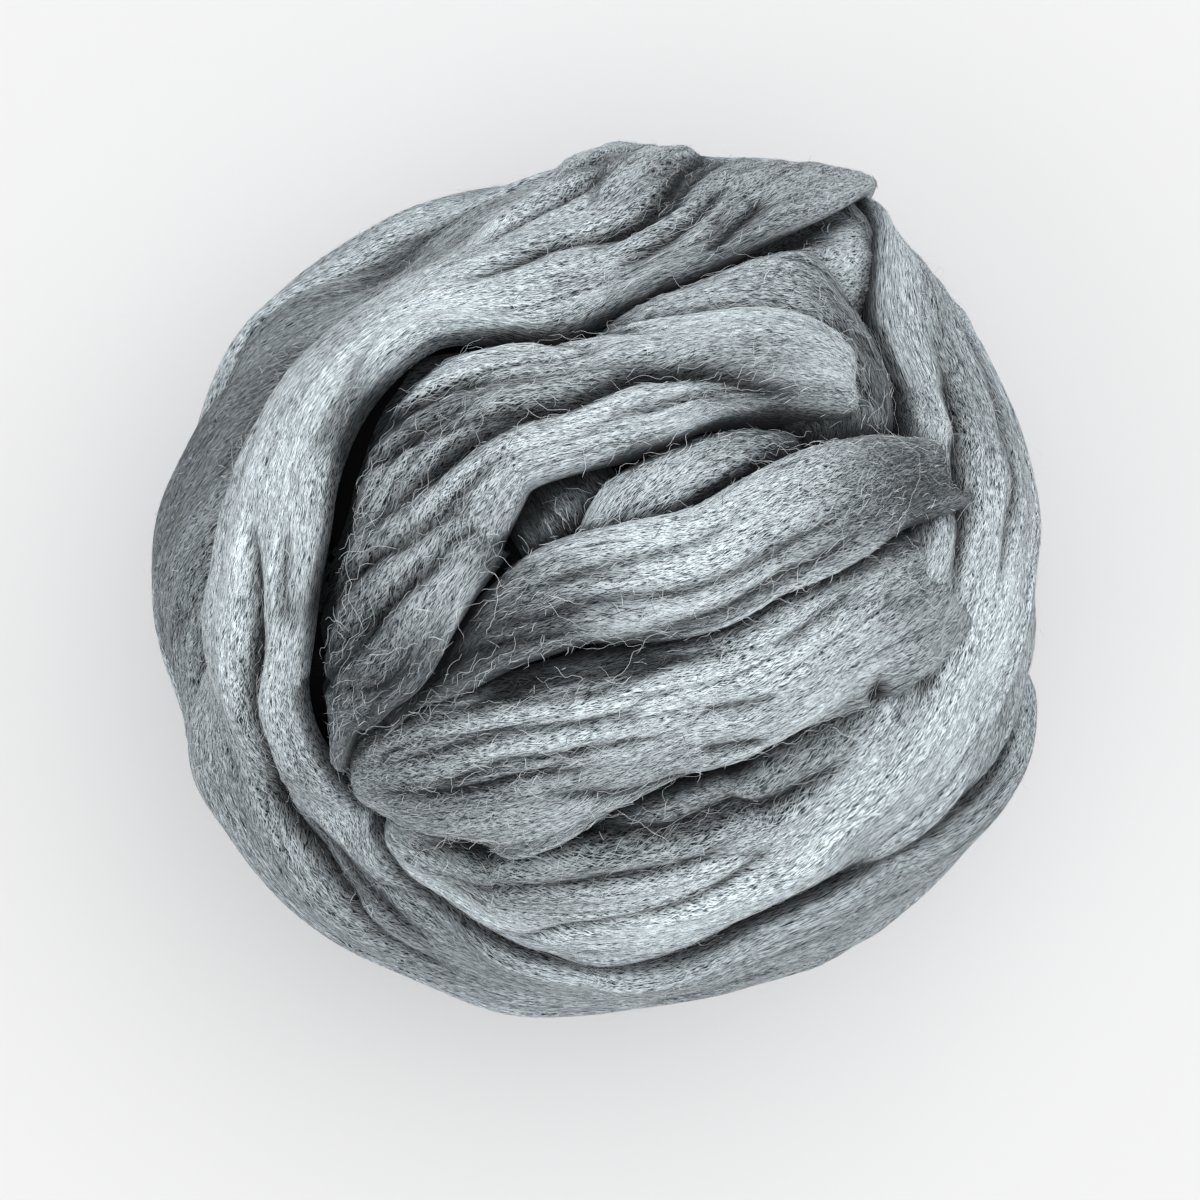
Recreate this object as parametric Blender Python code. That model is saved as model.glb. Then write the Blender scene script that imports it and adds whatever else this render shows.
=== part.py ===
# A hand-wound ball of combed wool roving, grey-blue, about 150 mm across.
#
# The ball is one continuous strand of combed wool, 25 to 55 mm wide where it is
# spread and bunched to a few millimetres where turns converge. It is built the way
# it is wound: turns are laid one after another over a core, each turn sags over
# whatever is already under it and presses it down along its own edges, and the body
# is the outer surface of all of them. Units are metres in the finished body,
# millimetres inside the tables. +Z is up, and the ball rests on a flat pressed spot
# at z = 0.

import math
from collections import namedtuple

import bmesh
import bpy
import numpy as np

# ---- driving sizes --------------------------------------------------------------
CENTRE_HEIGHT = 66.5      # mm, from the surface it rests on to the ball's middle
CORE_TOP = 44.0           # mm, core's height above the middle
CORE_UNDER = 50.0         # mm, core's depth below the middle
TURN_RADIUS = 72.0        # mm, where a turn's width is measured
STEP = 1.0                # mm between stations along a turn
FACE_CELLS = 28           # cells along one side of the body's cube-like net
FIELD_CELLS = 128         # cells along one side of the height field's faces
FULLNESS = 2.1            # exponent of a strand's rounded section
OVERHANG = 0.2            # how far up a strand's edge it is widest, as a share of its thickness
SOFTNESS = 0.5            # share of what lies under a turn that still shows through
INNER_LEVEL = 14.0        # mm, where the turns that show start over the core
PRESS_REACH = 5.0         # mm, how far out from its edge a turn presses the wool down
SPOT_RADIUS = 22.5        # mm, of the pressed spot it rests on
SPOT_DEPTH = 2.5          # mm, how far the wool over the spot would reach under it unpressed
SPOT_KEY = 14.0           # mm, half-diagonal of the flat face in the middle of the spot

# Core's half-width by azimuth: the ball is fuller to the upper right.
Form = namedtuple("Form", "azimuth_deg radius_mm")
FORM = [Form(*row) for row in (
    (5, 44), (25, 44.5), (45, 46), (60, 47.5), (76, 42.5), (93, 39.5), (120, 41), (145, 43.5),
    (165, 42.5), (180, 44), (198, 41), (215, 38), (240, 38.5), (262, 41), (290, 41.5),
    (310, 43.5), (330, 46), (345, 45),
)]

# Plain closed turns, wound first: each is a ring whose plane is tipped by tilt_deg,
# rising towards high_azimuth_deg. low_deg shifts a ring below the ball's waist, and
# level_mm is the height over the core it settles towards.
Loop = namedtuple("Loop", "name tilt_deg high_azimuth_deg width_mm thick_mm lift_mm sway_deg low_deg level_mm")
LOOPS = [Loop(*row) for row in (
    ("under_a", 90, 10, 46, 8.5, 0, 3, 0, 0),
    ("under_b", 90, 100, 46, 8.5, 0, 3, 0, 0),
    ("under_c", 62, 60, 46, 8.5, 0, 3, 0, 0),
    ("under_d", 62, 150, 46, 8.5, 0, 3, 0, 0),
    ("under_e", 62, 240, 46, 8.5, 0, 3, 0, 0),
    ("under_f", 62, 330, 46, 8.5, 0, 3, 0, 0),
    ("under_g", 35, 20, 44, 8.5, 0, 3, 0, 0),
    ("under_h", 35, 140, 44, 8.5, 0, 3, 0, 0),
    ("under_i", 35, 260, 44, 8.5, 0, 3, 0, 0),
    ("sole", 12, 40, 40, 9, 0, 2, -62, 14),
    ("foot_a", 10, 200, 34, 9, 0, 2, -38, 14),
    ("foot_b", 26, 75, 34, 10, 0, 3, -24, 14),
    ("foot_c", 30, 305, 36, 10, 0, 3, -18, 14),
    ("foot_d", 24, 190, 32, 10, 0, 2, -16, 14),
    ("waist_back", 17, 132, 38, 10, 0, 2, 0, 14),
    ("waist_front", 14, -52, 36, 10, 0, 2, 1, 14),
)]

# The turns that show, wound last: each turn's name, how far it presses down the wool
# beside it in mm, and a row for each section. A row is the azimuth and elevation of
# the section's middle, its width, its thickness, and how far it is lifted (or tucked,
# where negative) against the turns under it.
Section = namedtuple("Section", "azimuth_deg elevation_deg width_mm thick_mm lift_mm")
TURNS = [(name, press, [Section(*row) for row in rows]) for name, press, rows in (
    ("B2", 2, (
        (112, 40, 14, 9, 0), (128, 43, 22, 9, 0), (143, 38, 28, 9, 0), (156, 28, 32, 9, 0),
        (170, 17, 34, 9, 0), (184, 8, 32, 9, 0), (198, 0, 28, 9, 0), (212, -12, 24, 9, 0),
    )),
    ("M", 2, (
        (97, 50, 6, 6, 0), (87, 48, 8, 7, 0), (78, 45, 10, 8, 0), (69, 39, 16, 8.5, 1),
        (63, 29, 28, 9, 2), (57, 17, 32, 8.5, 0.5), (51, 4, 24, 8, 0), (46, -12, 20, 8, -1),
        (42, -28, 16, 7, -3),
    )),
    ("E", 2, (
        (119, 63, 22, 8.5, 0), (116, 75, 24, 9, 1.5), (109, 81, 25, 9, 1.5),
        (10, 88, 23, 9, 1.5), (-45, 80, 21, 8, -1),
    )),
    ("F", 4, (
        (-137, 87, 18, 8, 0), (28, 86, 21, 9, 0.5), (36, 80, 25, 10, 1),
        (36, 73, 28, 10.5, 1.5), (33, 66, 28, 10, 1), (29, 60, 24, 9, 0),
        (25, 54, 19, 8, -1.5), (22, 49, 14, 6, -4),
    )),
    ("L", 2.5, (
        (96, 52, 7, 6, 0), (81, 51, 10, 7, 0), (68, 46, 14, 8, 0), (57, 42, 22, 8.5, 0),
        (49, 38, 30, 9, 0), (42, 35.5, 37, 8.5, -0.5), (36, 36.5, 35, 8, -1),
        (29, 38.5, 30, 7, -2), (22, 40, 20, 6, -3),
    )),
    ("IJ", 3, (
        (-136, 24, 5, 8, 0), (-127, 26, 13, 9, 0), (-117, 29, 19, 9.5, 0),
        (-107, 30, 33, 10, 0), (-97, 34, 43, 10.5, 0), (-84, 37, 46, 11, 0),
        (-71, 38, 45, 11, 0), (-56, 38, 41, 11, 0.5), (-45, 39, 33, 11, 1),
        (-34, 38, 30, 11, 1.5), (-22, 37, 27, 11, 2.5), (-12, 36, 27, 11, 3),
        (-3, 32, 26, 11, 3), (6, 27, 25, 10.5, 3), (14, 21.5, 29, 10.5, 3),
        (21, 16.5, 30, 10, 2.5), (29, 13.5, 28, 10, 2), (35, 13, 25, 9.5, 2),
        (41, 9, 23, 9.5, 1.5), (46, -1, 24, 9, 0.5), (50, -14, 26, 9, 0.5),
        (54, -28, 26, 9, 0),
    )),
    ("H", 3.5, (
        (-142, 24, 8, 7, 0), (-141, 31, 17, 8, 0), (-138, 37, 27, 9, 0), (-134, 43, 33, 10, 0),
        (-126, 53, 35, 11, 0), (-111, 62, 32, 11, 0), (-90, 68, 29, 11, 0),
        (-61, 69, 27, 11, 0), (-40, 65, 28, 11, 0), (-24, 60, 28, 11, 0),
        (-13, 54, 27, 10.5, -1), (-5, 47, 24, 10, -2), (0, 40, 20, 9, -3), (5, 32, 17, 8, -4),
    )),
    ("G", 6, (
        (-145, 45, 4, 6, 0), (-149, 57, 6, 7.5, 0), (-150, 66, 11, 8.5, 0),
        (-155, 76, 17, 9.5, 0), (-148, 86, 19, 10.5, 0), (-10, 85, 20, 11, 0),
        (5, 76, 20, 11, 0), (14, 68, 20, 11, 0), (17, 59, 21, 11, 0), (19, 48, 20, 11, -0.5),
        (19, 41, 18, 10, -1), (18.5, 34.5, 16, 9, -1.5), (18, 28.5, 13, 8, -2.5),
        (17.5, 23, 8, 6, -5),
    )),
    ("D", 4.5, (
        (-143, 28, 9, 6, 0), (-151, 32, 20, 7.5, 0), (-161, 37.5, 34, 8.5, 0.5),
        (-170, 45, 43, 10, 1), (-179, 51, 49, 11, 1), (163, 57.5, 46, 12, 1),
        (148, 59, 45, 12, 1), (135, 61, 41, 12, 1), (119, 62.5, 35, 12, 1),
        (102, 64, 30, 12, 1), (87, 63, 26, 12, 1), (75, 61, 23, 12, 1), (65, 57, 20, 12, 1),
        (57, 53, 18, 11.5, 0.5), (49, 47.5, 16, 10.5, 0), (41, 41, 14, 9, -1.5),
        (35, 34.5, 10, 7, -4),
    )),
    ("S", 5.5, (
        (-10, -12, 14, 7, -4), (-24, -1, 24, 9, 0), (-37, 9, 30, 9.5, 0.5),
        (-47, 13, 31, 10, 0), (-60, 17, 30, 10, 0), (-76, 13, 26, 10, 0), (-88, 9, 26, 10, 0),
        (-98, 9.5, 26, 10, 0), (-108, 10, 26, 10.5, 0), (-118, 11, 27, 11.5, 0.5),
        (-129, 12, 28, 12, 1), (-139, 14.5, 28, 12, 1), (-149, 20, 27, 12, 1),
        (-158, 27.5, 26, 12, 1.5), (-168, 35, 25, 12.5, 2), (-178, 41, 25, 12.5, 2),
        (172, 43.2, 25, 13, 2.5), (163, 43.6, 23, 13, 3), (154, 44, 20, 13, 3),
        (145, 44.3, 17.5, 13, 3), (134, 44, 16, 12.5, 2.5), (124, 42.5, 18, 12, 2),
        (114, 41.5, 23, 12, 2), (105, 39.5, 29, 11.5, 1.5), (96, 36, 34, 11, 1),
        (88, 31.5, 38, 10, 1), (82, 26, 42, 9.5, 1.2), (77, 18, 44, 9, 1.5),
        (73, 8, 43, 8.5, 1.5), (70.5, -4, 40, 8.5, 1), (68, -22, 34, 8.5, 0),
    )),
)]


# ---- geometry of a turn -----------------------------------------------------------
def unit(a):
    return a / np.maximum(np.linalg.norm(a, axis=-1, keepdims=True), 1e-12)


def direction(azimuth, elevation):
    a, e = np.radians(azimuth), np.radians(elevation)
    return np.stack([np.cos(e) * np.cos(a), np.cos(e) * np.sin(a), np.sin(e)], -1)


def loop_sections(loop, count=12):
    """A ring's sections: a circle, tipped, turned to its high side, and a little uneven."""
    tip, high, low = (math.radians(v) for v in (loop.tilt_deg, loop.high_azimuth_deg, loop.low_deg))
    out = []
    for i in range(count):
        a = 2 * math.pi * (i / count + 0.5)
        x, y, z = math.cos(a) * math.cos(low), math.sin(a) * math.cos(low), math.sin(low)
        x, z = x * math.cos(tip) - z * math.sin(tip), x * math.sin(tip) + z * math.cos(tip)
        x, y = x * math.cos(high) - y * math.sin(high), x * math.sin(high) + y * math.cos(high)
        out.append(Section(
            math.degrees(math.atan2(y, x)),
            math.degrees(math.asin(max(-1.0, min(1.0, z)))) + loop.sway_deg * math.sin(3 * a + high),
            loop.width_mm * (1 + 0.12 * math.sin(2 * a + tip)),
            loop.thick_mm * (1 + 0.15 * math.cos(3 * a + tip + high)),
            loop.lift_mm))
    return out


def spline(points, count, closed):
    """Catmull-Rom curve through rows of numbers, count samples to a span."""
    total = len(points)
    out = []
    for i in range(total if closed else total - 1):
        p1, p2 = points[i], points[(i + 1) % total]
        p0 = points[i - 1] if closed or i else 2 * p1 - p2
        p3 = points[(i + 2) % total] if closed or i + 2 < total else 2 * p2 - p1
        t = np.linspace(0, 1, count, endpoint=False)[:, None]
        out.append(0.5 * (2 * p1 + (p2 - p0) * t + (2 * p0 - 5 * p1 + 4 * p2 - p3) * t * t
                          + (3 * p1 - p0 - 3 * p2 + p3) * t ** 3))
    if not closed:
        out.append(points[-1:])
    return np.concatenate(out)


def course(sections, closed):
    """A turn's line on the ball: directions, tangents, sideways directions and sizes."""
    rows = np.array([tuple(s) for s in sections], float)
    curve = spline(np.concatenate([direction(rows[:, 0], rows[:, 1]), rows[:, 2:]], 1), 16, closed)
    if closed:
        curve = np.concatenate([curve, curve[:1]])
    mid = unit(curve[:, :3])
    along = np.r_[0, np.cumsum(np.linalg.norm(np.diff(mid, axis=0), axis=1))] * TURN_RADIUS
    at = np.linspace(0, along[-1], max(8, int(along[-1] / STEP)))
    mid = unit(np.stack([np.interp(at, along, mid[:, k]) for k in range(3)], -1))
    width, thick, lift = (np.interp(at, along, curve[:, k]) for k in (3, 4, 5))
    bell = np.hanning(9) / np.hanning(9).sum()
    ends = ((lambda a: np.concatenate([a[-9:-1], a, a[1:9]])) if closed else
            (lambda a: np.concatenate([np.repeat(a[:1], 8), a, np.repeat(a[-1:], 8)])))
    mid = unit(np.stack([np.convolve(ends(mid[:, k]), bell, "same")[8:-8] for k in range(3)], -1))
    tangent = np.gradient(mid, axis=0)
    if closed:
        tangent[0] = tangent[-1] = mid[1] - mid[-2]
    tangent = unit(tangent - (tangent * mid).sum(1)[:, None] * mid)
    tip = np.ones(len(at))
    if not closed:
        tip = np.sqrt(np.clip(1 - (1 - np.clip(np.minimum(at, along[-1] - at) / 10, 0, 1)) ** 2, 0, 1))
    return {"mid": mid, "tangent": tangent, "side": np.cross(mid, tangent), "closed": closed,
            "half": width / 2 / TURN_RADIUS * (0.35 + 0.65 * tip), "thick": thick * tip,
            "lift": lift - 3 * (1 - tip)}


def crown(v):
    """A strand's section, 1 in its middle and OVERHANG at its edges."""
    return OVERHANG + (1 - OVERHANG) * np.sqrt(np.clip(1 - np.abs(v) ** FULLNESS, 0, 1))


# ---- the height field: how far the wool stands out from the core, by direction ----
def field_directions(cells):
    g = np.tan((np.arange(cells) + 0.5) / cells * math.pi / 2 - math.pi / 4)
    a, b = np.meshgrid(g, g, indexing="ij")
    one = np.ones_like(a)
    faces = [(one, a, b), (-one, a, b), (a, one, b), (a, -one, b), (a, b, one), (a, b, -one)]
    return np.concatenate([unit(np.stack(f, -1)).reshape(-1, 3) for f in faces])


def field_cell(n):
    axis = np.argmax(np.abs(n), -1)
    main = np.take_along_axis(n, axis[..., None], -1)[..., 0]
    other = np.array([[1, 2], [0, 2], [0, 1]])[axis]
    cell = [np.clip(((np.arctan(np.take_along_axis(n, other[..., k:k + 1], -1)[..., 0] / np.abs(main))
                      + math.pi / 4) / (math.pi / 2) * FIELD_CELLS).astype(int), 0, FIELD_CELLS - 1)
            for k in (0, 1)]
    return (axis * 2 + (main < 0)) * FIELD_CELLS ** 2 + cell[0] * FIELD_CELLS + cell[1]


def blur(a, sigma, axis, wrap=False):
    reach = max(1, int(3 * sigma))
    kernel = np.exp(-0.5 * (np.arange(-reach, reach + 1) / sigma) ** 2)
    pad = [(0, 0)] * a.ndim
    pad[axis] = (reach, reach)
    padded = np.pad(a, pad, mode="wrap" if wrap else "edge")
    out = 0
    for q, weight in enumerate(kernel / kernel.sum()):
        cut = [slice(None)] * a.ndim
        cut[axis] = slice(q, q + a.shape[axis])
        out = out + weight * padded[tuple(cut)]
    return out


ACROSS = np.linspace(-1.3, 1.3, 33)


def bed(turn, field, level):
    """What a turn lies on: its middle bridges the turns below, its edges follow them."""
    angle = ACROSS[None] * turn["half"][:, None]
    n = turn["mid"][:, None] * np.cos(angle)[..., None] + turn["side"][:, None] * np.sin(angle)[..., None]
    under = field[field_cell(n)]
    near = blur(blur(under, 4.0 / STEP, 0, turn["closed"]), 1.2, 1)
    wide = blur(blur(under, 9.0 / STEP, 0, turn["closed"]), 4.5, 1)
    edge = np.clip(np.abs(ACROSS), 0, 1) ** 3
    middle = level + SOFTNESS * (wide - level)
    return (1 - edge) * middle + edge * (0.85 * near + 0.15 * wide) + turn["lift"][:, None]


def locate(turn, n):
    """For each direction: nearest place along a turn, place across it, and whether it is beside it."""
    near = n @ turn["mid"].T
    k = near.argmax(1)
    v = np.arcsin(np.clip((n * turn["side"][k]).sum(1), -1, 1)) / turn["half"][k]
    return k, v, (near[np.arange(len(n)), k] > 0.5) & (np.abs((n * turn["tangent"][k]).sum(1)) < 0.03)


def pressed(turn, n, press):
    """How far a turn presses down the wool under it and just beside it, mm."""
    out = np.zeros(len(n))
    share = np.clip((turn["thick"] - 7) / 6, 0, 1).astype(np.float32)
    reach = PRESS_REACH / TURN_RADIUS
    gap = np.sqrt(np.clip(2 - 2 * (n.astype(np.float32) @ turn["mid"].T.astype(np.float32)), 0, None))
    gap -= turn["half"].astype(np.float32)
    close = np.flatnonzero(gap.min(1) < reach)
    out[close] = ((1 - np.clip(gap[close] / reach, 0, 1)) ** 2 * share).max(1) * press
    return out


def wind():
    """Lays every turn in order and returns the height field of the finished ball."""
    n = field_directions(FIELD_CELLS)
    field = np.zeros(len(n))
    order = [(loop_sections(loop), True, loop.level_mm, 0) for loop in LOOPS]
    order += [(rows, False, INNER_LEVEL, press) for _, press, rows in TURNS]
    for sections, closed, level, press in order:
        turn = course(sections, closed)
        base = bed(turn, field, level)
        k, v, beside = locate(turn, n)
        if press:
            field -= pressed(turn, n, press)
        on = (np.abs(v) < 1) & beside
        place = (np.clip(v[on], -1.3, 1.3) + 1.3) / 2.6 * (len(ACROSS) - 1)
        i = np.clip(place.astype(int), 0, len(ACROSS) - 2)
        low = base[k[on], i] * (1 - place + i) + base[k[on], i + 1] * (place - i)
        field[on] = np.maximum(field[on], low + turn["thick"][k[on]] * crown(v[on]))
    return field


def core_radius(n):
    """The core under the turns: an egg whose half-width follows FORM."""
    at = np.degrees(np.arctan2(n[..., 1], n[..., 0])) % 360
    x = np.array([FORM[-1].azimuth_deg - 360] + [f.azimuth_deg for f in FORM] + [FORM[0].azimuth_deg + 360], float)
    r = np.array([FORM[-1].radius_mm] + [f.radius_mm for f in FORM] + [FORM[0].radius_mm])
    k = np.clip(np.searchsorted(x, at, side="right") - 1, 0, len(x) - 2)
    t = (at - x[k]) / (x[k + 1] - x[k])
    t = t * t * (3 - 2 * t)
    half = r[k] * (1 - t) + r[k + 1] * t
    height = np.where(n[..., 2] > 0, CORE_TOP, CORE_UNDER)
    return 1 / np.sqrt((np.hypot(n[..., 0], n[..., 1]) / half) ** 2 + (n[..., 2] / height) ** 2)


def smooth_cells(field, sigma):
    """Softens the field inside each face, for a net coarser than the field is."""
    faces = field.reshape(6, FIELD_CELLS, FIELD_CELLS)
    return blur(blur(faces, sigma, 1), sigma, 2).reshape(-1)


# ---- the body ---------------------------------------------------------------------
def settle(n, radius):
    """Fills the hollows over the spot the ball rests on, so its own weight presses it flat there."""
    down = n[:, 2] < -0.8
    drop = np.where(down, -n[:, 2], 1.0)
    out = np.hypot(n[:, 0], n[:, 1]) / drop * CENTRE_HEIGHT
    reach = (CENTRE_HEIGHT + SPOT_DEPTH * (1 - (out / SPOT_RADIUS) ** 4)) / drop
    return np.where(down, np.maximum(radius, reach), radius)


def close_spot(bm):
    """Closes the cut at z = 0 with one flat face in the middle and a flat ring round it."""
    rim = [e for e in bm.edges if len(e.link_faces) == 1]
    for e in rim:
        for v in e.verts:
            v.co.z = 0.0
    key = [bm.verts.new((SPOT_KEY / 1000 * math.cos(a), SPOT_KEY / 1000 * math.sin(a), 0.0))
           for a in (math.pi / 2, math.pi * 7 / 6, math.pi * 11 / 6)]
    sides = [bm.edges.new((key[q], key[(q + 1) % 3])) for q in range(3)]
    bmesh.ops.triangle_fill(bm, use_beauty=True, use_dissolve=False, edges=rim + sides)
    if not any(len(e.link_faces) == 2 for e in sides):
        bm.faces.new(key)


def make_body(name):
    field = smooth_cells(wind(), 3.2)
    bm = bmesh.new()
    bmesh.ops.create_cube(bm, size=2.0)
    bmesh.ops.subdivide_edges(bm, edges=bm.edges[:], cuts=FACE_CELLS - 1, use_grid_fill=True)
    n = np.array([v.co[:] for v in bm.verts])
    n = unit(np.tan(n * math.pi / 4))
    p = n * settle(n, core_radius(n) + field[field_cell(n)])[:, None]
    p[:, 2] += CENTRE_HEIGHT
    for v, co in zip(bm.verts, p / 1000):
        v.co = co
    # the pressed spot it rests on: cut off level at z = 0
    bmesh.ops.bisect_plane(bm, geom=bm.verts[:] + bm.edges[:] + bm.faces[:], dist=1e-6,
                           plane_co=(0, 0, 0), plane_no=(0, 0, 1), clear_inner=True)
    bmesh.ops.remove_doubles(bm, verts=bm.verts[:], dist=0.00015)
    # the origin under the middle of the body's box
    low = [min(v.co[k] for v in bm.verts) for k in (0, 1)]
    high = [max(v.co[k] for v in bm.verts) for k in (0, 1)]
    for v in bm.verts:
        v.co.x -= (low[0] + high[0]) / 2
        v.co.y -= (low[1] + high[1]) / 2
    bmesh.ops.triangulate(bm, faces=bm.faces[:])
    close_spot(bm)
    bmesh.ops.recalc_face_normals(bm, faces=bm.faces[:])
    mesh = bpy.data.meshes.new(name)
    bm.to_mesh(mesh)
    bm.free()
    mesh.shade_smooth()
    body = bpy.data.objects.new(name, mesh)
    bpy.context.scene.collection.objects.link(body)
    return body


def make_wool(name):
    wool = bpy.data.materials.new(name)
    wool.use_nodes = True
    shader = wool.node_tree.nodes["Principled BSDF"]
    shader.inputs["Base Color"].default_value = (0.30, 0.35, 0.38, 1)
    shader.inputs["Roughness"].default_value = 0.9
    shader.inputs["Metallic"].default_value = 0.0
    return wool


for old in list(bpy.data.objects):
    bpy.data.objects.remove(old, do_unlink=True)
ball = make_body("wound_ball")
ball.data.materials.append(make_wool("combed_wool"))
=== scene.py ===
# Looks of a hand-wound ball of combed wool roving: every turn of the strand as its own
# lofted piece with folds and combed streaks, loose fibres over them, a pale floor, soft
# light and a camera that looks straight down.
import math
from collections import namedtuple

import bpy
import numpy as np
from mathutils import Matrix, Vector
from mathutils.bvhtree import BVHTree


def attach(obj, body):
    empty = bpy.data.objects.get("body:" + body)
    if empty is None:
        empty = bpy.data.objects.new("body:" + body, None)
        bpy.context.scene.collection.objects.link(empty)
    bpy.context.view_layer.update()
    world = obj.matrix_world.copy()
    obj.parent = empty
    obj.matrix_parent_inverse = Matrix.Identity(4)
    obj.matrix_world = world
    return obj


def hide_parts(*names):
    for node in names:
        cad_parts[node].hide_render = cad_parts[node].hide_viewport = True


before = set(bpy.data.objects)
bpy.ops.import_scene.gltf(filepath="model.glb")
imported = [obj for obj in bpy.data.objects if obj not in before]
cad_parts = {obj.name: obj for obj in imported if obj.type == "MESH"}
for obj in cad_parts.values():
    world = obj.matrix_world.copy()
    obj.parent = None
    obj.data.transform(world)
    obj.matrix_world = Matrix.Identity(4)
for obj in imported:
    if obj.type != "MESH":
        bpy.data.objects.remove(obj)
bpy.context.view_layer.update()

# ---- the ball's sizes, the same as the solid's ------------------------------------
CENTRE_HEIGHT = 66.5
CORE_TOP = 44.0
CORE_UNDER = 50.0
TURN_RADIUS = 72.0
STEP = 1.0
FACE_CELLS = 28
FIELD_CELLS = 128
FULLNESS = 2.1            # exponent of a strand's rounded section
INNER_LEVEL = 14.0
PRESS_REACH = 5.0         # how far out from its edge a turn presses the wool down, mm
SOFTNESS = 0.5
WORLD = 0.78
KEY = 14.0
FILL = 3.0
OVERHANG = 0.2            # how far up a strand's edge it is widest, as a share of its thickness

Form = namedtuple("Form", "azimuth_deg radius_mm")
FORM = [Form(*row) for row in (
    (5, 44), (25, 44.5), (45, 46), (60, 47.5), (76, 42.5), (93, 39.5), (120, 41), (145, 43.5),
    (165, 42.5), (180, 44), (198, 41), (215, 38), (240, 38.5), (262, 41), (290, 41.5),
    (310, 43.5), (330, 46), (345, 45),
)]

Loop = namedtuple("Loop", "name tilt_deg high_azimuth_deg width_mm thick_mm lift_mm sway_deg low_deg level_mm")
LOOPS = [Loop(*row) for row in (
    ("under_a", 90, 10, 46, 8.5, 0, 3, 0, 0),
    ("under_b", 90, 100, 46, 8.5, 0, 3, 0, 0),
    ("under_c", 62, 60, 46, 8.5, 0, 3, 0, 0),
    ("under_d", 62, 150, 46, 8.5, 0, 3, 0, 0),
    ("under_e", 62, 240, 46, 8.5, 0, 3, 0, 0),
    ("under_f", 62, 330, 46, 8.5, 0, 3, 0, 0),
    ("under_g", 35, 20, 44, 8.5, 0, 3, 0, 0),
    ("under_h", 35, 140, 44, 8.5, 0, 3, 0, 0),
    ("under_i", 35, 260, 44, 8.5, 0, 3, 0, 0),
    ("sole", 12, 40, 40, 9, 0, 2, -62, 14),
    ("foot_a", 10, 200, 34, 9, 0, 2, -38, 14),
    ("foot_b", 26, 75, 34, 10, 0, 3, -24, 14),
    ("foot_c", 30, 305, 36, 10, 0, 3, -18, 14),
    ("foot_d", 24, 190, 32, 10, 0, 2, -16, 14),
    ("waist_back", 17, 132, 38, 10, 0, 2, 0, 14),
    ("waist_front", 14, -52, 36, 10, 0, 2, 1, 14),
)]

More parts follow.
